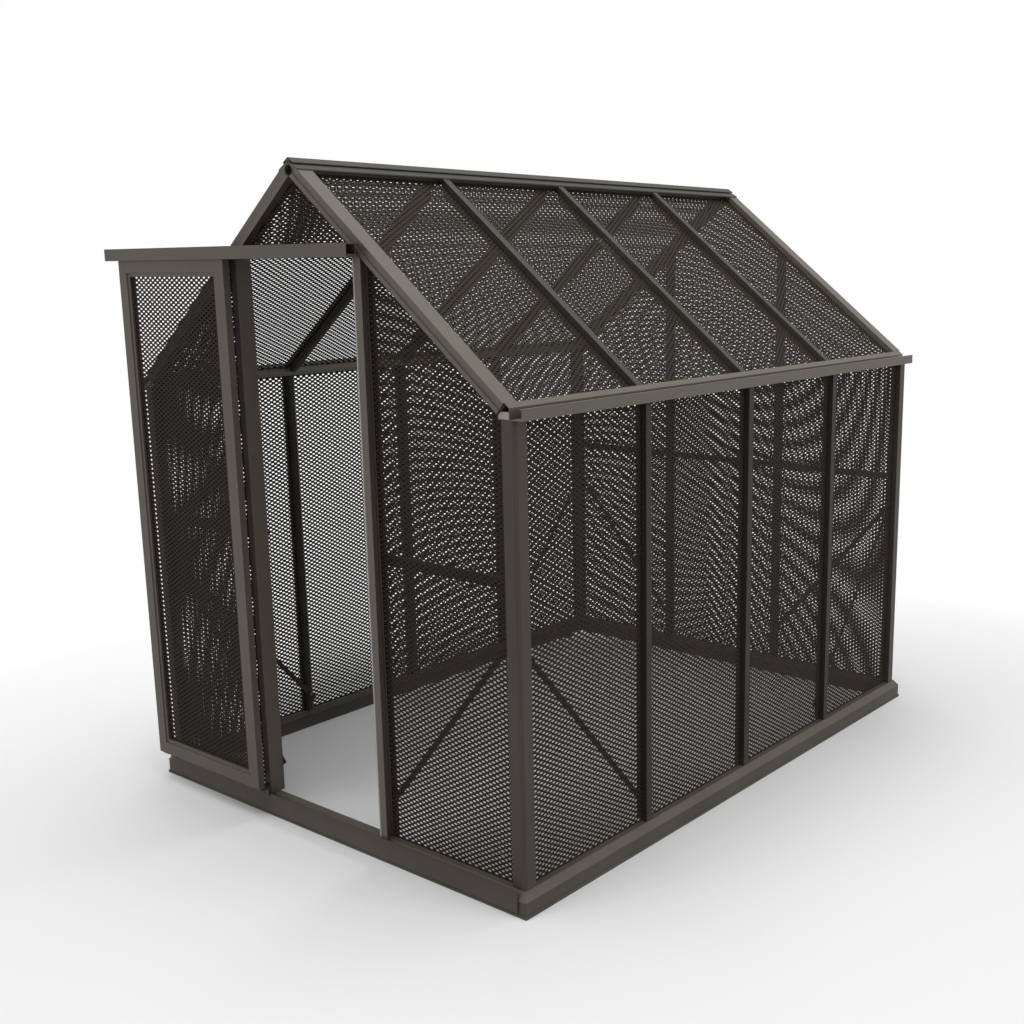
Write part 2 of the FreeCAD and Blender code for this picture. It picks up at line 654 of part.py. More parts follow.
ROOF_BAYS = [
    (f"-{FACE_Y} + {ROOF_EDGE}", f"-side_bay - {STUD_EDGE}"),
    *BAYS[1:3],
    (f"side_bay + {STUD_EDGE}", f"{FACE_Y} - {ROOF_EDGE}"),
]
for side, sign in SIDES:
    wall = new_body(f"{side}_wall_panels")
    sheets = new_sketch(wall, "YZ_Plane", on_side(sign, f"{PANEL_FRONT} + panel_thickness/2"))
    for low, high in BAYS:
        rectangle(sheets, low, SHEET_LOW, high, "eave_height - panel_play")
    pad(wall, sheets, "panel_thickness", symmetric=True)
    grid = new_sketch(wall, "YZ_Plane", on_side(sign, PANEL_FRONT))
    open_grid(wall, grid, SIDE_FIRST, SIDE_PITCH, WALL_ROWS, SIDE_COLUMNS)
    roof = new_body(f"{side}_roof_panels")
    sheets = new_sketch(roof, "XY_Plane", f"-({PANEL_FRONT} + panel_thickness/2)")
    for low, high in ROOF_BAYS:
        rectangle(sheets, "roof_panel_start", low, f"{ROOF_FOOT} - panel_play", high)
    pad(roof, sheets, "panel_thickness", symmetric=True)
    grid = new_sketch(roof, "XY_Plane", f"-({PANEL_FRONT})")
    open_grid(roof, grid, SIDE_FIRST, SIDE_PITCH, ROOF_ROWS, SIDE_COLUMNS, upright=False)
    on_slope(roof, sign)

# gable sheets: the outer bays step round the eave beam, the middle ones stop below the ridge's screw port
BEAM_EDGE = f"({FACE_X} + {BEAM_IN[0]} - panel_play)"
OUTER_BAY = [
    (f"{JAMB_X} + {STUD_EDGE}", SHEET_LOW),
    (f"{FACE_X} - {POST_EDGE}", SHEET_LOW),
    (f"{FACE_X} - {POST_EDGE}", "eave_height - panel_play"),
    (BEAM_EDGE, "eave_height - panel_play"),
    (BEAM_EDGE, under_roof(BEAM_EDGE, SHEET_DEPTH)),
    (f"{JAMB_X} + {STUD_EDGE}", under_roof(f"{JAMB_X} + {STUD_EDGE}", SHEET_DEPTH)),
]
PEAK = f"({ROOF_TOP} - ridge_tube_drop - ridge_tube - panel_play)"
PEAK_ACROSS = f"({under_roof('0', SHEET_DEPTH)} - {PEAK})/tan(roof_pitch)"


def middle_bay(half, low):
    """The middle sheet of a gable, from its foot up to the peak."""
    shoulder = under_roof(half, SHEET_DEPTH)
    right = [(half, low), (half, shoulder), (PEAK_ACROSS, PEAK)]
    return right + [(f"-({across})", up) for across, up in reversed(right)]


def gable_sketch(body, sign):
    """A sketch in the middle of a gable's sheets."""
    return new_sketch(body, "XZ_Plane", times(-sign, f"{FACE_Y} - {PANEL_FRONT} - panel_thickness/2"))


front = new_body("front_panels")
sheets = gable_sketch(front, -1)
for side, sign in SIDES:
    polygon(sheets, [(times(sign, across), up) for across, up in OUTER_BAY])
pad(front, sheets, "panel_thickness", symmetric=True)
gable = new_body("front_gable_panel")
sheets = gable_sketch(gable, -1)
polygon(sheets, middle_bay(f"({DOORWAY_HALF} - panel_play)", f"{RAIL_LEVEL} + header_lap"))
pad(gable, sheets, "panel_thickness", symmetric=True)
back = new_body("back_panels")
sheets = gable_sketch(back, 1)
for side, sign in SIDES:
    polygon(sheets, [(times(sign, across), up) for across, up in OUTER_BAY])
polygon(sheets, middle_bay(f"({JAMB_X} - {STUD_EDGE})", SHEET_LOW))
pad(back, sheets, "panel_thickness", symmetric=True)
GABLE_PITCH = f"2*({FACE_X} - {POST_EDGE})/{OPENINGS_PER_GABLE}"
GABLE_FIRST = f"-({FACE_X} - {POST_EDGE}) + {GABLE_PITCH}/2"
for sheeted, sign in ((front, -1), (back, 1)):
    grid = gable_sketch(sheeted, sign)
    open_grid(sheeted, grid, GABLE_FIRST, GABLE_PITCH, WALL_ROWS, OPENINGS_PER_GABLE)


# Girts: angles across the gables at waist height, on the inside of the bars
def girt(label, sign, left, right):
    """An angle between two places across a gable."""
    body = new_body(label)
    section = new_sketch(body, "YZ_Plane", f"(({left}) + ({right}))/2")
    profile = [
        ("0", "girt_level"),
        ("girt_wall", "girt_level"),
        ("girt_wall", "girt_level + girt_height - girt_wall"),
        ("girt_depth", "girt_level + girt_height - girt_wall"),
        ("girt_depth", "girt_level + girt_height"),
        ("0", "girt_level + girt_height"),
    ]
    polygon(section, [(on_end(sign, f"frame_depth + {depth}"), up) for depth, up in profile])
    pad(body, section, f"({right}) - ({left})", symmetric=True)


GIRT_END = f"({FACE_X} - girt_end)"
GIRT_JAMB = f"({JAMB_X} - stud_inner/2)"
girt("girt_front_left", -1, f"-{GIRT_END}", f"-{GIRT_JAMB}")
girt("girt_front_right", -1, GIRT_JAMB, GIRT_END)
girt("girt_back", 1, f"-{GIRT_END}", GIRT_END)


# Braces: flat bars from each corner post down to the foot of the next upright, two on every wall
def brace(sketch, sign, post, foot):
    """Outlines one brace from a post to an upright's foot, each a place across the wall and a height."""
    across = f"(({foot[0]}) - ({post[0]}))"
    rise = f"({foot[1]} - {post[1]})"
    length = f"sqrt({across}*{across} + {rise}*{rise})"
    corners = []
    for (start, level), over, along in ((post, "-brace_head_over", 1), (foot, "brace_foot_over", -1)):
        for edge in (along, -along):
            corners.append(
                (
                    times(sign, f"{start} + ({over}*{across} - {edge}*brace_width/2*{rise})/{length}"),
                    f"{level} + ({over}*{rise} + {edge}*brace_width/2*{across})/{length}",
                )
            )
    polygon(sketch, corners)


def braces(label, plane, shift, post, foot):
    """The two braces of a wall."""
    body = new_body(label)
    sketch = new_sketch(body, plane, shift)
    for side in (-1, 1):
        brace(sketch, side, post, foot)
    pad(body, sketch, "brace_wall", symmetric=True)


BRACE_DEPTH = "frame_depth + brace_wall/2"
GABLE_BRACE = ((f"{FACE_X} - brace_post", "gable_brace_top"), (JAMB_X, "gable_brace_foot"))
SIDE_BRACE = ((f"{FACE_Y} - brace_post", "side_brace_top"), ("side_bay", "side_brace_foot"))
for end, sign in ENDS:
    braces(f"{end}_braces", "XZ_Plane", times(-sign, f"{FACE_Y} - ({BRACE_DEPTH})"), *GABLE_BRACE)
for side, sign in SIDES:
    braces(f"{side}_braces", "YZ_Plane", on_side(sign, BRACE_DEPTH), *SIDE_BRACE)


# Head rail: a hood over the door's rollers, with a ribbed shelf that they run on
def in_front(reach):
    """Y of a plane at a reach in front of the door jambs."""
    return f"-({JAMB_FACE} + ({reach}))"


RAIL_TOP = f"({RAIL_LEVEL} + rail_height)"
RAIL_LEFT = f"({DOOR_TRAVEL} + {DOOR_WIDTH}/2 + rail_over)"
RAIL_RIGHT = f"({DOORWAY_HALF} + stud_face + rail_lap)"
SHELF_LOW = f"({RAIL_LEVEL} + rail_shelf_rise)"
SHELF_TOP = f"({SHELF_LOW} + rail_wall)"
RIB_TOP = f"({SHELF_TOP} + rail_rib)"
RIB_MIDDLE = "(rail_shelf - rail_rib_width)"
DOOR_FRONT = "(rail_depth - rail_wall - door_gap)"
DOOR_BACK = f"({DOOR_FRONT} - door_depth)"
rail = new_body("head_rail")
section = new_sketch(rail, "YZ_Plane", f"({RAIL_RIGHT} - {RAIL_LEFT})/2")
RAIL_PROFILE = [
    ("0", RAIL_LEVEL),
    ("0", RAIL_TOP),
    ("rail_depth", RAIL_TOP),
    ("rail_depth", RAIL_LEVEL),
    ("rail_depth - rail_wall", RAIL_LEVEL),
    ("rail_depth - rail_wall", f"{RAIL_TOP} - rail_wall"),
    ("rail_wall", f"{RAIL_TOP} - rail_wall"),
    ("rail_wall", SHELF_TOP),
    (f"{RIB_MIDDLE} - rail_rib_width/2", SHELF_TOP),
    (f"{RIB_MIDDLE} - rail_rib_width/2", RIB_TOP),
    (f"{RIB_MIDDLE} + rail_rib_width/2", RIB_TOP),
    (f"{RIB_MIDDLE} + rail_rib_width/2", SHELF_TOP),
    ("rail_shelf", SHELF_TOP),
    ("rail_shelf", SHELF_LOW),
    ("rail_wall", SHELF_LOW),
    ("rail_wall", RAIL_LEVEL),
]
polygon(section, [(in_front(reach), up) for reach, up in RAIL_PROFILE])
pad(rail, section, f"{RAIL_LEFT} + {RAIL_RIGHT}", symmetric=True)
# only the hood's front runs on past the right jamb's middle
notch = new_sketch(rail, "XY_Plane", RAIL_LEVEL)
rectangle(
    notch, JAMB_X, in_front("rail_depth - rail_wall"), f"{RAIL_RIGHT} + rail_wall", in_front("-rail_wall")
)
cut(rail, notch)

# header: closes the gable above the doorway, trimmed at both ends along the rafters
header = new_body("door_header")
HEADER_TOP = f"({RAIL_LEVEL} + header_height)"
outline = new_sketch(header, "XZ_Plane", f"{FACE_Y} - face_depth/2 + jamb_proud/2")
right = [
    (DOORWAY_HALF, RAIL_LEVEL),
    (DOORWAY_HALF, under_roof(DOORWAY_HALF, "rafter_gable_leg")),
    (f"({under_roof('0', 'rafter_gable_leg')} - {HEADER_TOP})/tan(roof_pitch)", HEADER_TOP),
]
polygon(outline, right + [(f"-({across})", up) for across, up in reversed(right)])
pad(header, outline, "face_depth + jamb_proud", symmetric=True)

# bottom track: a strip along the front of the base, whose upper edge guides the door
track = new_body("door_track")
section = new_sketch(track, "YZ_Plane")
TRACK_FOOT = "(base_lip_height + track_foot_gap)"
TRACK_PROFILE = [
    ("-base_lip", TRACK_FOOT),
    ("track_reach", TRACK_FOOT),
    ("track_reach", TRACK_TOP),
    ("track_reach - track_wall", TRACK_TOP),
    ("track_reach - track_wall", "base_height"),
    ("-base_lip", "base_height"),
]


def before_base(reach):
    """Y of a plane at a reach in front of the base's edge."""
    return f"-({BASE_Y} + ({reach}))"


polygon(section, [(before_base(reach), up) for reach, up in TRACK_PROFILE])
pad(track, section, f"2*{DOOR_TRAVEL} + {DOOR_WIDTH}", symmetric=True)

# Door, drawn open: moved to the left by its travel
DOOR_MIDDLE = f"(-{DOOR_TRAVEL})"
DOOR_LEFT = f"({DOOR_MIDDLE} - {DOOR_WIDTH}/2)"
DOOR_RIGHT = f"({DOOR_MIDDLE} + {DOOR_WIDTH}/2)"
DOOR_SECTION = [
    ("0", "0"),
    ("stile_width - stile_step", "0"),
    ("stile_width - stile_step", "stile_step_depth"),
    ("stile_width", "stile_step_depth"),
    ("stile_width", "door_slot_depth"),
    ("stile_width - slot_reach", "door_slot_depth"),
    ("stile_width - slot_reach", "door_slot_depth + panel_slot"),
    ("stile_width", "door_slot_depth + panel_slot"),
    ("stile_width", "door_depth"),
    ("0", "door_depth"),
]
DOOR_CHAMBER = [
    ("bar_wall", "bar_wall"),
    ("stile_width - stile_step - bar_wall", "bar_wall"),
    ("stile_width - stile_step - bar_wall", "door_depth - bar_wall"),
    ("bar_wall", "door_depth - bar_wall"),
]


def behind_face(depth):
    """Y of a plane at a depth behind the door's front face."""
    return in_front(f"{DOOR_FRONT} - ({depth})")


OVER = "stile_step"


def mitre(sketch, side, level, up, keep_upright):
    """Outlines what a corner's diagonal cuts from an upright, or from the rail that meets it."""
    outer = f"{DOOR_MIDDLE} + {times(side, f'{DOOR_WIDTH}/2 + {OVER}')}"
    inner = f"{DOOR_MIDDLE} + {times(side, f'{DOOR_WIDTH}/2 - stile_width - {OVER}')}"
    high = f"{level} + {times(up, OVER)}"
    low = f"{level} - {times(up, f'stile_width + {OVER}')}"
    polygon(sketch, [(outer, high), (inner, low), (inner, high) if keep_upright else (outer, low)])


for side, sign in SIDES:
    stile = new_body(f"door_stile_{side}")
    section = new_sketch(stile, "XY_Plane", DOOR_BOTTOM)
    for points in (DOOR_SECTION, DOOR_CHAMBER):
        polygon(
            section,
            [
                (f"{DOOR_MIDDLE} + {times(sign, f'{DOOR_WIDTH}/2 - ({inward})')}", behind_face(depth))
                for inward, depth in points
            ],
        )
    pad(stile, section, f"{DOOR_TOP} - {DOOR_BOTTOM}")
    ends = new_sketch(stile, "XZ_Plane")
    mitre(ends, sign, DOOR_TOP, 1, True)
    mitre(ends, sign, DOOR_BOTTOM, -1, True)
    cut(stile, ends)
for label, start, up in (("door_top_rail", DOOR_TOP, 1), ("door_bottom_rail", DOOR_BOTTOM, -1)):
    door_rail = new_body(label)
    section = new_sketch(door_rail, "YZ_Plane", DOOR_MIDDLE)
    for points in (DOOR_SECTION, DOOR_CHAMBER):
        polygon(section, [(behind_face(depth), f"{start} - {times(up, inward)}") for inward, depth in points])
    pad(door_rail, section, DOOR_WIDTH, symmetric=True)
    ends = new_sketch(door_rail, "XZ_Plane")
    for side in (-1, 1):
        mitre(ends, side, start, up, False)
    cut(door_rail, ends)
door_panel = new_body("door_panel")
middle = "door_slot_depth + panel_slot/2"
sheets = new_sketch(door_panel, "XZ_Plane", f"-({behind_face(middle)})")
edge = "(stile_width - slot_reach + panel_edge)"
rectangle(
    sheets,
    f"{DOOR_LEFT} + {edge}",
    f"{DOOR_BOTTOM} + {edge}",
    f"{DOOR_RIGHT} - {edge}",
    f"{DOOR_TOP} - {edge}",
)
pad(door_panel, sheets, "panel_thickness", symmetric=True)
grid = new_sketch(door_panel, "XZ_Plane", f"-({behind_face(middle)})")
DOOR_PITCH = f"({DOOR_WIDTH} - 2*stile_width)/{OPENINGS_PER_BAY}"
DOOR_ROWS = opening_rows(f"{DOOR_BOTTOM} + stile_width", f"{DOOR_TOP} - stile_width")
DOOR_FIRST = f"{DOOR_LEFT} + stile_width + {DOOR_PITCH}/2"
open_grid(door_panel, grid, DOOR_FIRST, DOOR_PITCH, DOOR_ROWS, OPENINGS_PER_BAY)

# door gear: an angle hanger on the top rail, a headed axle through it and a grooved roller on the axle
AXLE_LEVEL = f"({RIB_TOP} + roller_root + roller_play)"
ROLLER_MIDDLE = RIB_MIDDLE
HANGER_BACK = f"({ROLLER_MIDDLE} + roller_width/2 + roller_side_play)"
HANGER_FRONT = f"({HANGER_BACK} + hanger_wall)"
SHOE_LOW = f"({TRACK_TOP} - shoe_bite)"
SHOE_SLOT_TOP = f"({TRACK_TOP} + shoe_lift)"
SHOE_SLOT = ("(track_reach - track_wall - shoe_play)", "(track_reach + shoe_play)")
hangers = new_body("door_hangers")
axles = new_body("roller_axles")
shoes = new_body("door_shoes")
for side, sign in SIDES:
    centre = f"({DOOR_MIDDLE} + {times(sign, f'{DOOR_WIDTH}/2 - hanger_inset')})"
    section = new_sketch(hangers, "YZ_Plane", centre)
    profile = [
        (HANGER_BACK, DOOR_TOP),
        (HANGER_BACK, f"{DOOR_TOP} + hanger_height"),
        (HANGER_FRONT, f"{DOOR_TOP} + hanger_height"),
        (HANGER_FRONT, f"{DOOR_TOP} + hanger_wall"),
        (f"{HANGER_BACK} + hanger_foot", f"{DOOR_TOP} + hanger_wall"),
        (f"{HANGER_BACK} + hanger_foot", DOOR_TOP),
    ]
    polygon(section, [(in_front(reach), up) for reach, up in profile])
    pad(hangers, section, "hanger_width", symmetric=True)
for side, sign in SIDES:
    centre = f"({DOOR_MIDDLE} + {times(sign, f'{DOOR_WIDTH}/2 - hanger_inset')})"
    hole = new_sketch(hangers, "XZ_Plane")
    circle(hole, centre, AXLE_LEVEL, "axle_radius + axle_play")
    cut(hangers, hole)

    # the axle is turned: head, shank and the collar that keeps the roller on
    shank_end = f"({ROLLER_MIDDLE} - roller_width/2 - roller_side_play)"
    for radius, start, end in (
        ("axle_head", f"{HANGER_FRONT} + axle_head_wall", HANGER_FRONT),
        ("axle_radius", HANGER_FRONT, shank_end),
        ("axle_head", shank_end, f"{shank_end} - axle_head_wall"),
    ):
        disc = new_sketch(axles, "XZ_Plane", f"-({in_front(f'({start} + {end})/2')})")
        circle(disc, centre, AXLE_LEVEL, radius)
        pad(axles, disc, f"{start} - ({end})", symmetric=True)

    # the roller is turned about its axle, with a groove that sits on the head rail's rib
    roller = new_body(f"roller_{side}")
    wheel = new_sketch(roller, "YZ_Plane", centre)
    half_profile = [
        ("roller_width/2", "axle_radius + roller_play"),
        ("roller_width/2", "roller_radius"),
        ("roller_groove/2", "roller_radius"),
        ("rail_rib_width/2", "roller_root"),
    ]
    profile = half_profile + [(f"-{across}", up) for across, up in reversed(half_profile)]
    outline = [(in_front(f"{ROLLER_MIDDLE} + {across}"), f"{AXLE_LEVEL} + {up}") for across, up in profile]
    polygon(wheel, outline)
    axis = wheel.addGeometry(
        Part.LineSegment(
            FreeCAD.Vector(
                float(wheel.evalExpression(formula(in_front(ROLLER_MIDDLE)))),
                float(wheel.evalExpression(formula(AXLE_LEVEL))),
                0,
            ),
            FreeCAD.Vector(0, float(wheel.evalExpression(formula(AXLE_LEVEL))), 0),
        ),
        True,
    )
    pin(wheel, "DistanceX", axis, 1, in_front(ROLLER_MIDDLE))
    pin(wheel, "DistanceY", axis, 1, AXLE_LEVEL)
    pin(wheel, "DistanceX", axis, 2, "0")
    pin(wheel, "DistanceY", axis, 2, AXLE_LEVEL)
    turned = roller.newObject("PartDesign::Revolution", f"{roller.Name}_turned")
    turned.Profile = wheel
    turned.ReferenceAxis = (wheel, ["Axis0"])
    turned.Angle = 360

    # the shoe reaches back under the door and straddles the track's upper edge
    place = f"{DOOR_MIDDLE} + {times(sign, f'{DOOR_WIDTH}/2 - shoe_inset')}"
    section = new_sketch(shoes, "YZ_Plane", place)
    back = before_base(f"{SHOE_SLOT[0]} - shoe_wall")
    front = before_base(f"{SHOE_SLOT[1]} + shoe_wall")
    grip = in_front(f"{DOOR_BACK} + shoe_grip")
    shoe = [
        (back, SHOE_LOW),
        (back, DOOR_BOTTOM),
        (grip, DOOR_BOTTOM),
        (grip, f"{DOOR_BOTTOM} - shoe_arm"),
        (front, f"{DOOR_BOTTOM} - shoe_arm"),
        (front, SHOE_LOW),
        (before_base(SHOE_SLOT[1]), SHOE_LOW),
        (before_base(SHOE_SLOT[1]), SHOE_SLOT_TOP),
        (before_base(SHOE_SLOT[0]), SHOE_SLOT_TOP),
        (before_base(SHOE_SLOT[0]), SHOE_LOW),
    ]
    polygon(section, shoe)
    pad(shoes, section, "shoe_length", symmetric=True)

# stops under the head rail's roof end the rollers' travel both ways
stops = new_body("rail_stops")
REACH = "(roller_radius + stop_play + stop_length/2)"
for place in (
    f"{DOOR_LEFT} + hanger_inset - {REACH}",
    f"{DOOR_WIDTH}/2 - hanger_inset + {REACH}",
):
    block = new_sketch(stops, "YZ_Plane", place)
    rectangle(
        block,
        in_front(f"{ROLLER_MIDDLE} + roller_width/2"),
        f"{RAIL_TOP} - rail_wall - stop_drop",
        in_front(f"{ROLLER_MIDDLE} - roller_width/2"),
        f"{RAIL_TOP} - rail_wall",
    )
    pad(stops, block, "stop_length", symmetric=True)

doc.recompute()

# Nothing is written unless every object is sound
for item in doc.Objects:
    if "Invalid" in item.State or "Error" in item.State:
        raise RuntimeError(f"{item.Label} failed: {item.State}")
for piece in PIECES:
    if piece.Shape.isNull() or not piece.Shape.isValid() or not piece.Shape.Solids:
        raise RuntimeError(f"{piece.Label} has no sound solid")

os.makedirs("parts", exist_ok=True)
for piece in PIECES:
    piece.Shape.exportStep(f"parts/{piece.Label}.step")
    print(f"{piece.Label}: {len(piece.Shape.Solids)} solids, {piece.Shape.Volume / 1000:.1f} cm3")
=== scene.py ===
"""Shade house of bronze powder-coated bars and perforated sheet, in a plain pale studio."""
import bmesh
import bpy
import math
import numpy as np
from mathutils import Matrix, Vector
from mathutils.geometry import delaunay_2d_cdt


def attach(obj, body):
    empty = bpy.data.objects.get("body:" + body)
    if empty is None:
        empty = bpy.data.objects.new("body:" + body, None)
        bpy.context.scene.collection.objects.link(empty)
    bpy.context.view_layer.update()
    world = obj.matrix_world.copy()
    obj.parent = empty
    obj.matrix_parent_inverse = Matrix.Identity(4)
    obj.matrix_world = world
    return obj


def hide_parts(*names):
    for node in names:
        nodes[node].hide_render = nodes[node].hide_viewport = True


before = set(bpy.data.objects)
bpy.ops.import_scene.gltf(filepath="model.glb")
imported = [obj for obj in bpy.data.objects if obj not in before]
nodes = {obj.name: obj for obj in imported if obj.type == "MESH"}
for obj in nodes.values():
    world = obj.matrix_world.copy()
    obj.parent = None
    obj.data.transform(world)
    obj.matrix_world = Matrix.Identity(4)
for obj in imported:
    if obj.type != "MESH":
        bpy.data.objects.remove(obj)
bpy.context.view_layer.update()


# Base rails, corner posts and door track: heavy aluminium extrusions, mitred or cut square and screwed up.
# Their satin bronze powder coat is painted darker than the other bars' coat, as painted shade. It has the
# slight pebble of fused powder, gathers dust near the ground, and leaves the extrusions' edges a little
# rounded.
BAR_EDGE = 0.0008
SAME_POINT = 0.00002
SHARP_EDGE = math.radians(35)
CLOUD_SCALE = 3.5
FLECK_SCALE = 420.0
DUST_TOP = 0.11


class Wire:
    """A shader socket that takes part in sums; node() adds any other node."""

    def __init__(self, tree, socket=None):
        self.tree = tree
        self.socket = socket

    def node(self, kind, settings=None, inputs=None, output=0):
        made = self.tree.nodes.new(kind)
        for name, value in (settings or {}).items():
            setattr(made, name, value)
        for name, value in (inputs or {}).items():
            if isinstance(value, Wire):
                self.tree.links.new(value.socket, made.inputs[name])
            else:
                made.inputs[name].default_value = value
        return Wire(self.tree, made.outputs[output])

    def reckon(self, operation, first, second):
        return self.node("ShaderNodeMath", {"operation": operation}, {0: first, 1: second})

    def __add__(self, other):
        return self.reckon("ADD", self, other)

    def __sub__(self, other):
        return self.reckon("SUBTRACT", self, other)

    def __rsub__(self, other):
        return self.reckon("SUBTRACT", other, self)

    def __mul__(self, other):
        return self.reckon("MULTIPLY", self, other)

    __radd__ = __add__
    __rmul__ = __mul__

    def clip(self):
        return self.node("ShaderNodeClamp", None, {"Value": self})

    def tint(self, low, high):
        """A colour between two, by this factor."""
        return self.node("ShaderNodeMix", {"data_type": "RGBA"}, {"Factor": self, 6: low, 7: high}, 2)

    def noise(self, scale, detail):
        """A noise over the surface, where this is the place on it."""
        sockets = {"Vector": self, "Scale": scale, "Detail": detail}
        return self.node("ShaderNodeTexNoise", None, sockets, "Fac")

    def feed(self, socket):
        self.tree.links.new(self.socket, socket)


def linear(red, green, blue):
    """A colour given as it looks on a screen, from 0 to 255."""
    parts = [part / 255 for part in (red, green, blue)]
    return tuple(part / 12.92 if part < 0.04045 else ((part + 0.055) / 1.055) ** 2.4 for part in parts) + (1,)


def new_finish(name):
    """A new material, its shader's sockets, and the place on the surface."""
    material = bpy.data.materials.new(name)
    material.use_nodes = True
    shader = material.node_tree.nodes["Principled BSDF"]
    place = Wire(material.node_tree).node("ShaderNodeTexCoord", output="Object")
    return material, shader.inputs, place


def powder_coat(name, dark, light, rough, sheen):
    """A satin coat: clouded tone, a fine pebbled skin, and dust that thins out above the ground."""
    material, sockets, place = new_finish(name)
    cloud = place.noise(CLOUD_SCALE, 3.0)
    fleck = place.noise(FLECK_SCALE, 2.0)
    height = place.node("ShaderNodeSeparateXYZ", None, {0: place}, "Z")
    dust = ((DUST_TOP - height) * 7.0).clip() * cloud
    tone = (cloud * 0.7 + fleck * 0.5 - 0.1).clip().tint(dark, light)
    (dust * 0.5).tint(tone, linear(120, 114, 104)).feed(sockets["Base Color"])
    (rough + (fleck - 0.5) * 0.16 + dust * 0.2).feed(sockets["Roughness"])
    skin = place.node("ShaderNodeBump", None, {"Height": fleck, "Strength": 0.12, "Distance": 0.0004})
    skin.feed(sockets["Normal"])
    sockets["Specular IOR Level"].default_value = sheen
    return material


def dress(names, material, edge):
    """Gives CAD nodes their finish, and rounds their edges a little."""
    for name in names:
        node = nodes[name]
        node.data.materials.clear()
        node.data.materials.append(material)
        weld = node.modifiers.new("weld", "WELD")
        weld.merge_threshold = SAME_POINT
        rounded = node.modifiers.new("rounded", "BEVEL")
        rounded.width = edge
        rounded.segments = 2
        rounded.limit_method = "ANGLE"
        rounded.angle_limit = SHARP_EDGE
        rounded.use_clamp_overlap = True
        rounded.harden_normals = False


def named(*starts):
    """The CAD nodes whose names start in one of these ways."""
    return [name for name in nodes if name.startswith(starts)]


# The darker tone of this coat is painted shade.
post_shaded_coat = powder_coat("post_shaded_coat", linear(51, 46, 40), linear(64, 59, 51), 0.48, 0.25)
dress(named("base_rail", "corner_post", "door_track"), post_shaded_coat, BAR_EDGE)


# Sills, head rail, door header and door frame: lighter aluminium extrusions in the main bronze coat.
# The sills are mitred and lie on the base rails, and the door's stiles and rails are screwed together.
bar_coat = powder_coat("bar_coat", linear(68, 62, 54), linear(84, 77, 68), 0.46, 0.3)
door_frame = named("door_stile", "door_top", "door_bottom")
dress(named("sill", "head_rail", "door_header") + door_frame, bar_coat, BAR_EDGE)


# Glazing bars: slotted aluminium extrusions between the sheets, their coats painted darker than the frame's
# as painted shade, the studs' darkest.
# The studs stand on the sills, and the roof bars run from the eaves to the ridge and are screwed to it.
# The darker tone of the roof bars' and ridge's coat is painted shade.
glazing_shaded_coat = powder_coat("glazing_shaded_coat", linear(46, 43, 37), linear(58, 54, 47), 0.5, 0.25)
dress(named("left_roof_bars", "right_roof_bars", "ridge_bar"), glazing_shaded_coat, BAR_EDGE)
# The studs' still darker coat is painted shade.
stud_shaded_coat = powder_coat("stud_shaded_coat", linear(37, 34, 29), linear(47, 44, 38), 0.5, 0.2)
dress(named("left_stud", "right_stud", "back_stud"), stud_shaded_coat, BAR_EDGE)


# Roof edges: the rafters over the gables and the eave beams with their gutters, all aluminium extrusions.
# They are cut to the roof's slope, and their coat is painted slightly paler than the other bars' coat, as
# painted light.
# The paler tone of the rafters' and gutters' coat is painted light.
eave_lit_coat = powder_coat("eave_lit_coat", linear(78, 72, 64), linear(96, 89, 80), 0.46, 0.3)
dress(named("rafter", "gutter"), eave_lit_coat, BAR_EDGE)


# Door jambs: two aluminium extrusions that stand on the front sill, proud of the gable's sheets.
# Their coat is painted a little brighter, a painted highlight on their faces, and is a little smoother where
# the door slides past them.
JAMB_EDGE = 0.0012
# The jambs' brighter tone is a painted highlight.
jamb_highlight_coat = powder_coat("jamb_highlight_coat", linear(74, 68, 60), linear(92, 85, 76), 0.4, 0.3)
dress(named("door_jamb"), jamb_highlight_coat, JAMB_EDGE)


# Girts and braces: thin aluminium angles and flat bars that stiffen the walls from inside.
# They are cut and drilled from coated stock, and bolted to the posts, studs and jambs.
BRACE_EDGE = 0.0005
brace_coat = powder_coat("brace_coat", linear(44, 40, 34), linear(55, 51, 44), 0.5, 0.15)
dress([name for name in nodes if "girt" in name or "brace" in name], brace_coat, BRACE_EDGE)


# Eave plugs: moulded grey plastic plates, pushed into the open ends of the two eave beams.
# Moulding leaves them with a fine even grain.
SMALL_EDGE = 0.0003


def speckled(name, dark, light, grain_scale, rough, metallic=0.0, detail=2.0, spread=0.2, pebble=0.0):
    """A finish whose tone and roughness follow one fine grain, with a pebbled skin if it has any."""
    material, sockets, place = new_finish(name)
    grain = place.noise(grain_scale, detail)
    grain.tint(dark, light).feed(sockets["Base Color"])
    (grain * spread + rough).feed(sockets["Roughness"])
    sockets["Metallic"].default_value = metallic
    if pebble:
        skin = place.node("ShaderNodeBump", None, {"Height": grain, "Strength": pebble, "Distance": 0.0002})
        skin.feed(sockets["Normal"])
    return material


plug_grey = speckled("plug_grey", linear(132, 128, 122), linear(150, 146, 140), 260.0, 0.4)
dress(["eave_end_plugs"], plug_grey, SMALL_EDGE)


# Door gear: bent steel hangers and turned axles, zinc plated, which carry the door on two rollers.
# The rollers, the shoes under the door and the stops in the head rail are moulded in black nylon.
zinc, sockets, place = new_finish("zinc_plate")
spangle = place.node("ShaderNodeTexVoronoi", None, {"Vector": place, "Scale": 300.0}, "Distance")
spangle.tint(linear(190, 190, 188), linear(164, 164, 164)).feed(sockets["Base Color"])
(spangle * 0.25 + 0.28).feed(sockets["Roughness"])
sockets["Metallic"].default_value = 1.0
dress(["door_hangers", "roller_axles"], zinc, SMALL_EDGE)
nylon = speckled("black_nylon", linear(26, 26, 26), linear(40, 40, 39), 700.0, 0.42, pebble=0.1)
dress(["roller_left", "roller_right", "rail_stops", "door_shoes"], nylon, SMALL_EDGE)


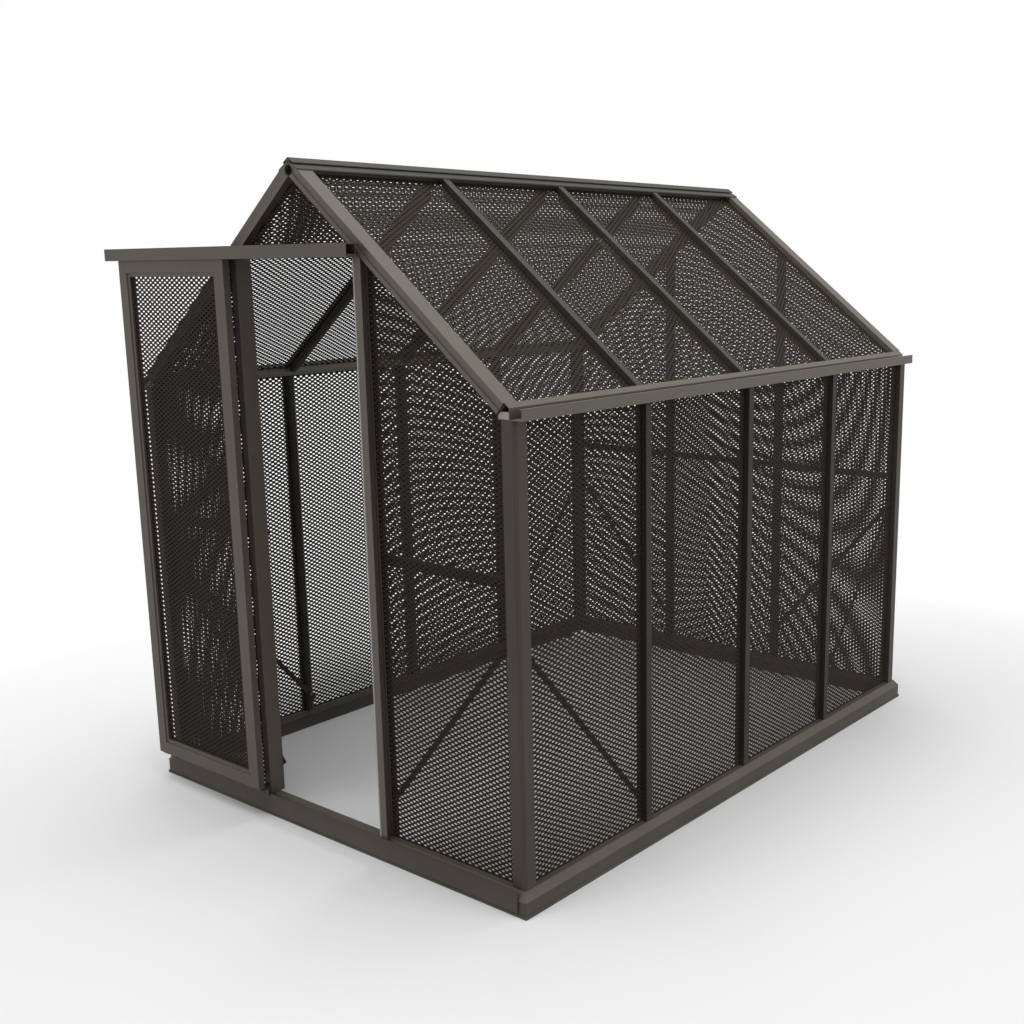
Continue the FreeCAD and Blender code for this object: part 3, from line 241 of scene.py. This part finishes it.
# Perforated sheets: thin aluminium, punched with staggered oblong holes, coated matt and slid into the bars.
# Every hole is cut through the sheet, longer across it than up it, in upright rows that stand close together.
# A sheet has the outline of its CAD solid, and its outer face lies on the solid's.
HOLE_PITCH = 0.0168
HOLE_ACROSS = 0.0068
HOLE_UP = 0.0033
HOLE_SIDES = 8
HOLE_TO_EDGE = 0.003
SHEET_THICKNESS = 0.0006
HOUSE_MIDDLE = Vector((0, 0, 1))
sheet_coat = powder_coat("sheet_coat", linear(36, 32, 26), linear(45, 40, 33), 0.62, 0.07)


def sheets_of(node):
    """The outlines of a node's sheets on their outer side, without the openings, and that side's normal."""
    solid = bmesh.new()
    solid.from_mesh(node.data)
    bmesh.ops.remove_doubles(solid, verts=solid.verts, dist=SAME_POINT)
    outward = sum((corner.co for corner in solid.verts), Vector()) / len(solid.verts) - HOUSE_MIDDLE
    facing_out = [face for face in solid.faces if face.normal.dot(outward) > 0]
    normal = max(facing_out, key=lambda face: face.calc_area()).normal.copy()
    outer = {face for face in solid.faces if face.normal.dot(normal) > 0.999}
    following = {}
    for side in [side for face in outer for side in face.loops]:
        if len(outer.intersection(side.edge.link_faces)) == 1:
            following[side.vert] = side.link_loop_next.vert
    found = []
    while following:
        first, corner = following.popitem()
        ring = [first.co.copy()]
        while corner != first:
            ring.append(corner.co.copy())
            corner = following.pop(corner)
        before = ring[-1:] + ring[:-1]
        after = ring[1:] + ring[:1]
        turning = sum((here.cross(there) for here, there in zip(ring, after)), Vector())
        if turning.dot(normal) > 0:
            bends = zip(before, ring, after)
            found.append(
                [here for back, here, ahead in bends if (here - back).cross(ahead - here).length > 1e-7]
            )
    solid.free()
    return sorted(found, key=lambda ring: tuple(sum(ring, Vector()) / len(ring))), normal


def hole_centres(outline, pitch, clear):
    """Centres of the staggered holes that clear the sheet's edges."""
    low = outline.min(axis=0) + clear
    high = outline.max(axis=0) - clear
    across = pitch * math.sqrt(3) / 2
    centres = []
    for column in range(int((high[0] - low[0]) / across) + 1):
        start = low[1] + (column % 2) * pitch / 2
        rows = np.arange(start, high[1] + 1e-9, pitch)
        centres.append(np.column_stack([np.full(len(rows), low[0] + column * across), rows]))
    centres = np.vstack(centres)
    inside = np.zeros(len(centres), dtype=bool)
    away = np.full(len(centres), np.inf)
    for corner, following in zip(outline, np.roll(outline, -1, axis=0)):
        along = following - corner
        share = np.clip(((centres - corner) @ along) / (along @ along), 0, 1)
        away = np.minimum(away, np.linalg.norm(centres - corner - share[:, None] * along, axis=1))
        if along[1]:
            crosses = (corner[1] > centres[:, 1]) != (following[1] > centres[:, 1])
            crosses &= centres[:, 0] < corner[0] + (centres[:, 1] - corner[1]) / along[1] * along[0]
            inside ^= crosses
    return centres[inside & (away > clear - 1e-6)]


def punch(name, corners, normal):
    """One perforated sheet on the plane of its corners."""
    up = (Vector((0, 0, 1)) - normal * normal.z).normalized()
    right = up.cross(normal)
    outline = np.array([(corner.dot(right), corner.dot(up)) for corner in corners])
    turn = (np.arange(HOLE_SIDES) + 0.5) * 2 * math.pi / HOLE_SIDES
    ring = np.column_stack([HOLE_ACROSS * np.cos(turn), HOLE_UP * np.sin(turn)])
    centres = hole_centres(outline, HOLE_PITCH, HOLE_ACROSS + HOLE_TO_EDGE)
    points = np.vstack([outline, (centres[:, None, :] + ring[None, :, :]).reshape(-1, 2)])
    owner = np.concatenate([np.full(len(outline), -1), np.repeat(np.arange(len(centres)), HOLE_SIDES)])
    rim = np.arange(len(outline))
    rim_edges = np.column_stack([rim, np.roll(rim, -1)])
    hole = len(outline) + np.arange(len(centres) * HOLE_SIDES).reshape(-1, HOLE_SIDES)
    hole_edges = np.column_stack([hole.ravel(), np.roll(hole, -1, axis=1).ravel()])
    _, _, triangles, source, _, _ = delaunay_2d_cdt(
        [Vector(point) for point in points], np.vstack([rim_edges, hole_edges]).tolist(), [], 1, 1e-7
    )
    source = np.array([item[0] for item in source])
    triangles = source[np.array(triangles)]
    owners = owner[triangles]
    in_hole = (owners == owners[:, :1]).all(axis=1) & (owners[:, 0] >= 0)
    triangles = triangles[~in_hole]
    count = len(points)
    plane = corners[0].dot(normal) * np.array(normal)
    front = points[:, :1] * np.array(right) + points[:, 1:] * np.array(up) + plane
    vertices = np.vstack([front, front - SHEET_THICKNESS * np.array(normal)])
    first, second = hole_edges.T
    hole_walls = np.column_stack([first, second, second + count, first + count])
    first, second = rim_edges.T
    rim_walls = np.column_stack([first, first + count, second + count, second])
    faces = [triangles, triangles[:, ::-1] + count, hole_walls, rim_walls]
    mesh = bpy.data.meshes.new(name)
    mesh.from_pydata(vertices.tolist(), [], [face for group in faces for face in group.tolist()])
    mesh.materials.append(sheet_coat)
    piece = bpy.data.objects.new(name, mesh)
    bpy.context.scene.collection.objects.link(piece)
    return piece


for node_name in [name for name in nodes if "panel" in name]:
    outlines, normal = sheets_of(nodes[node_name])
    for number, corners in enumerate(outlines, start=1):
        sheet = punch(f"{node_name}_sheet_{number}", corners, normal)
        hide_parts(node_name)
        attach(sheet, "door" if node_name == "door_panel" else "frame")


# Bolts: zinc-plated steel hexagon heads on round washers, dulled by weather.
# They hold the ends of the braces and girts to the posts, studs and jambs, with their heads inside the house.
HEAD_ACROSS = 0.0058
HEAD_RISE = 0.004
WASHER_RADIUS = 0.0075
WASHER_RISE = 0.0012
INNER_X = 0.880
INNER_Y = 1.210
GABLE_SEATS = {
    "gable_brace_head": (0.890, 0.890),
    "gable_brace_foot": (0.310, 0.205),
    "girt_end": (0.885, 1.024),
    "girt_middle": (0.310, 1.024),
}
SIDE_SEATS = {"side_brace_head": (1.220, 0.855), "side_brace_foot": (0.620, 0.155)}
bolt_zinc = speckled(
    "bolt_zinc", linear(96, 92, 86), linear(132, 128, 122), 500.0, 0.3, metallic=1.0, spread=0.3
)


def bolt(name, seat, inward):
    """A washer and a hexagon head that stand on a seat and point into the house."""
    made = bmesh.new()
    washer = (24, WASHER_RADIUS, 0, WASHER_RISE)
    head = (6, HEAD_ACROSS, WASHER_RISE, HEAD_RISE)
    for sides, radius, low, rise in (washer, head):
        middle = Matrix.Translation((0, 0, low + rise / 2))
        bmesh.ops.create_cone(
            made, cap_ends=True, segments=sides, radius1=radius, radius2=radius, depth=rise, matrix=middle
        )
    mesh = bpy.data.meshes.new(name)
    made.to_mesh(mesh)
    made.free()
    mesh.materials.append(bolt_zinc)
    piece = bpy.data.objects.new(name, mesh)
    turned = Vector(inward).to_track_quat("Z", "Y").to_matrix().to_4x4()
    piece.matrix_world = Matrix.Translation(seat) @ turned
    bpy.context.scene.collection.objects.link(piece)
    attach(piece, "frame")


for across in (-1, 1):
    for along in (-1, 1):
        corner = f"{'left' if across < 0 else 'right'}_{'front' if along < 0 else 'back'}"
        for label, (x, z) in GABLE_SEATS.items():
            bolt(f"{label}_bolt_{corner}", (across * x, along * INNER_Y, z), (0, -along, 0))
        for label, (y, z) in SIDE_SEATS.items():
            bolt(f"{label}_bolt_{corner}", (across * INNER_X, along * y, z), (-across, 0, 0))


# Door seal: a strip of extruded rubber with rounded edges, its pale grey a painted highlight along the jamb's
# edge.
# It is pressed on along the edge of the right jamb, where the closed door covers it.
SEAL_LOW = (0.2885, -1.2725, 0.080)
SEAL_HIGH = (0.2952, -1.2695, 1.975)
SEAL_ROUND = 0.0008
# The seal's pale grey is a painted highlight along the right jamb's edge.
seal_highlight_grey = speckled("seal_highlight_grey", linear(140, 137, 132), linear(166, 163, 158), 40.0, 0.55, detail=3.0)
made = bmesh.new()
bmesh.ops.create_cube(made, size=1.0)
for corner in made.verts:
    corner.co = [high if side > 0 else low for side, low, high in zip(corner.co, SEAL_LOW, SEAL_HIGH)]
bmesh.ops.bevel(made, geom=made.edges, offset=SEAL_ROUND, segments=2, affect="EDGES")
seal_mesh = bpy.data.meshes.new("door_seal")
made.to_mesh(seal_mesh)
made.free()
seal_mesh.materials.append(seal_highlight_grey)
seal = bpy.data.objects.new("door_seal", seal_mesh)
bpy.context.scene.collection.objects.link(seal)
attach(seal, "frame")


# Studio floor and sky: a pale matt floor that keeps the house's shadow, under an even white sky.
# Behind the house, clear of its shadow, and far away all round, the floor fades into the sky.
FLOOR_REACH = 60.0
FLOOR_DROP = 0.0005
FLOOR_GREY = (0.76, 0.76, 0.76, 1)
WHITE = (1, 1, 1, 1)
SKY_LEVEL = 0.42
FRONT_RIGHT = (4.2, -3.0, 0.0)
BEHIND_FROM = 4.5
SHADOW_REACH = 1.3
FAR_FROM = 2.8


def seen_or_lit(start):
    """1 for rays that show a surface, and the sky's level for those that only light it."""
    kinds = ("Is Camera Ray", "Is Glossy Ray", "Is Transmission Ray")
    camera_ray, glossy_ray, clear_ray = [start.node("ShaderNodeLightPath", output=kind) for kind in kinds]
    return (camera_ray + glossy_ray + clear_ray).clip() * (1 - SKY_LEVEL) + SKY_LEVEL


floor_mesh = bpy.data.meshes.new("floor")
floor_corners = [(x * FLOOR_REACH, y * FLOOR_REACH, 0) for x, y in ((-1, -1), (1, -1), (1, 1), (-1, 1))]
floor_mesh.from_pydata(floor_corners, [], [(0, 1, 2, 3)])
floor = bpy.data.objects.new("floor", floor_mesh)
floor.location.z = -FLOOR_DROP
bpy.context.scene.collection.objects.link(floor)
floor_white, sockets, place = new_finish("floor_white")
sockets["Base Color"].default_value = FLOOR_GREY
sockets["Roughness"].default_value = 0.9
sockets["Specular IOR Level"].default_value = 0.1
beside = place.node("ShaderNodeVectorMath", {"operation": "LENGTH"}, {0: place}, "Value")
beyond = place.node("ShaderNodeVectorMath", {"operation": "DISTANCE"}, {0: place, 1: FRONT_RIGHT}, "Value")
behind = ((beyond - BEHIND_FROM) * 0.33).clip() * ((beside - SHADOW_REACH) * 2.2).clip()
fade = (behind + ((beside - FAR_FROM) * 0.6).clip()).clip()
glow = place.node("ShaderNodeEmission", None, {"Color": WHITE, "Strength": seen_or_lit(place)})
matt = Wire(place.tree, place.tree.nodes["Principled BSDF"].outputs[0])
mixed = place.node("ShaderNodeMixShader", None, {0: fade, 1: matt, 2: glow})
mixed.feed(place.tree.nodes["Material Output"].inputs["Surface"])
floor_mesh.materials.append(floor_white)

sky = bpy.data.worlds.new("sky")
sky.use_nodes = True
bpy.context.scene.world = sky
background = sky.node_tree.nodes["Background"]
background.inputs["Color"].default_value = WHITE
seen_or_lit(Wire(sky.node_tree)).feed(background.inputs["Strength"])


# Studio lamps: broad soft squares in front of the house, above it and to its right.
# A small weak one under the ridge lifts the shade on the floor inside.
def lamp(name, place, target, size, power):
    """A square soft lamp aimed at a point."""
    light = bpy.data.lights.new(name, "AREA")
    light.size = size
    light.energy = power
    holder = bpy.data.objects.new(name, light)
    holder.location = place
    holder.rotation_euler = (Vector(target) - Vector(place)).to_track_quat("-Z", "Y").to_euler()
    holder.visible_camera = False
    bpy.context.scene.collection.objects.link(holder)


lamp("front_lamp", place=(-2.5, -9.0, 3.5), target=(0, 0, 1.0), size=5.0, power=165)
lamp("top_lamp", place=(0.5, -1.0, 8.0), target=(0, 0, 0), size=6.0, power=480)
lamp("right_lamp", place=(8.0, 1.0, 4.0), target=(0, 0, 1.0), size=5.0, power=210)
lamp("floor_lamp", place=(0, 0, 2.05), target=(0, 0, 0), size=0.5, power=7)


# Camera: where the photograph was taken from, at the right of the door and a little above the eaves.
# Its place, turn and lens were solved from the base, posts and roof.
CAMERA_PLACE = (3.3165, -3.8634, 1.9473)
CAMERA_RIGHT = (0.7805346, 0.6250353, -0.0098280)
CAMERA_UP = (-0.1225017, 0.1683576, 0.9780844)
CAMERA_BACK = (0.6129919, -0.7622248, 0.2079768)
view = bpy.data.cameras.new("camera")
view.sensor_width = 36.0
view.lens = 44.26
view.shift_x = -0.0827
view.shift_y = 0.0203
camera = bpy.data.objects.new("camera", view)
turn = Matrix((CAMERA_RIGHT, CAMERA_UP, CAMERA_BACK)).transposed()
camera.matrix_world = Matrix.Translation(CAMERA_PLACE) @ turn.to_4x4()
bpy.context.scene.collection.objects.link(camera)
bpy.context.scene.camera = camera
bpy.context.scene.view_settings.view_transform = "Standard"
